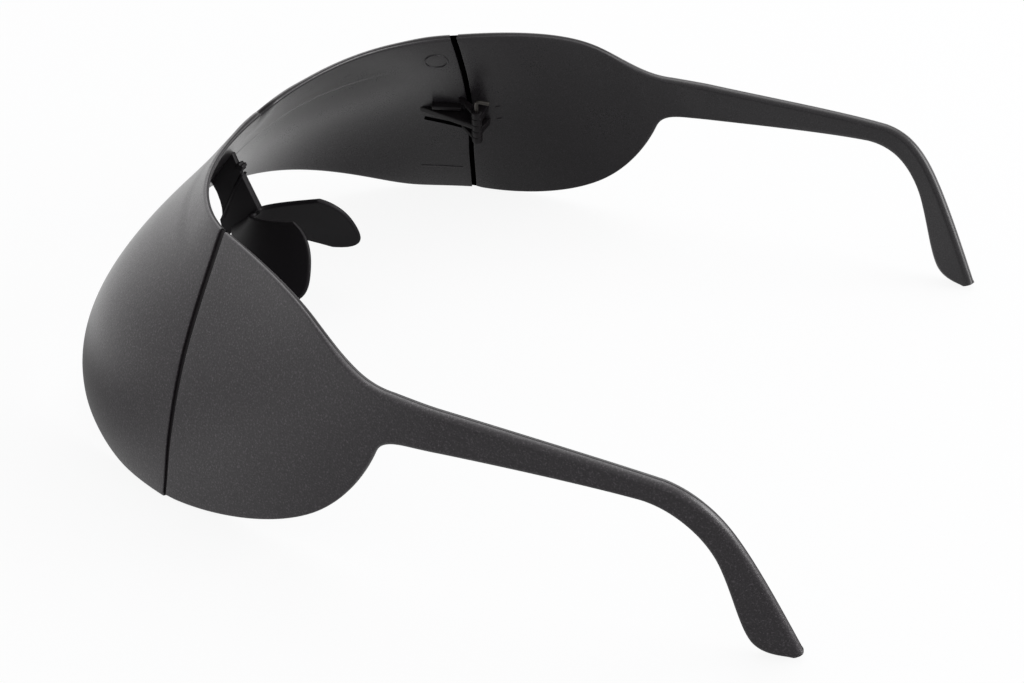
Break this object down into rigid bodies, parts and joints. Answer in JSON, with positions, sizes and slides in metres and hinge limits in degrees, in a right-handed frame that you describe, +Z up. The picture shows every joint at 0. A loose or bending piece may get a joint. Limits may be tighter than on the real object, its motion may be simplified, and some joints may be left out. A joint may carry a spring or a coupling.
{
  "type": "flight training view limiter",
  "caption": "Wrap-around view-limiting glasses: an opaque domed visor, hinged side shields that run into temple arms, and a push-on nose piece.",
  "frame": {"origin": "on the table, under the middle of the open glasses' bounding box", "axes": "+X to the wearer's left, -Y the way the wearer faces (the visor's side), +Z up"},
  "size_m": [0.1502, 0.1562, 0.0469],
  "materials": {
    "shell_plastic": "matte black, fine spark-eroded grain",
    "nose_plastic": "satin black, smooth",
    "hinge_steel": "dull spring wire"
  },
  "bodies": {
    "front": {"visor": "shell_plastic", "nose_piece": "nose_plastic"},
    "left_arm": {"side_shield_left": "shell_plastic", "hinge_wire_left": "hinge_steel"},
    "right_arm": {"side_shield_right": "shell_plastic", "hinge_wire_right": "hinge_steel"}
  },
  "joints": [
    {"name": "left_fold", "type": "hinge", "parent": "front", "child": "left_arm", "pos_m": [0.06143, -0.03766, 0.02026], "axis": [-0.398, 0.1538, 0.9044], "range_deg": [0, 92]},
    {"name": "right_fold", "type": "hinge", "parent": "front", "child": "right_arm", "pos_m": [-0.06143, -0.03766, 0.02026], "axis": [-0.398, -0.1538, -0.9044], "range_deg": [0, 80]}
  ]
}
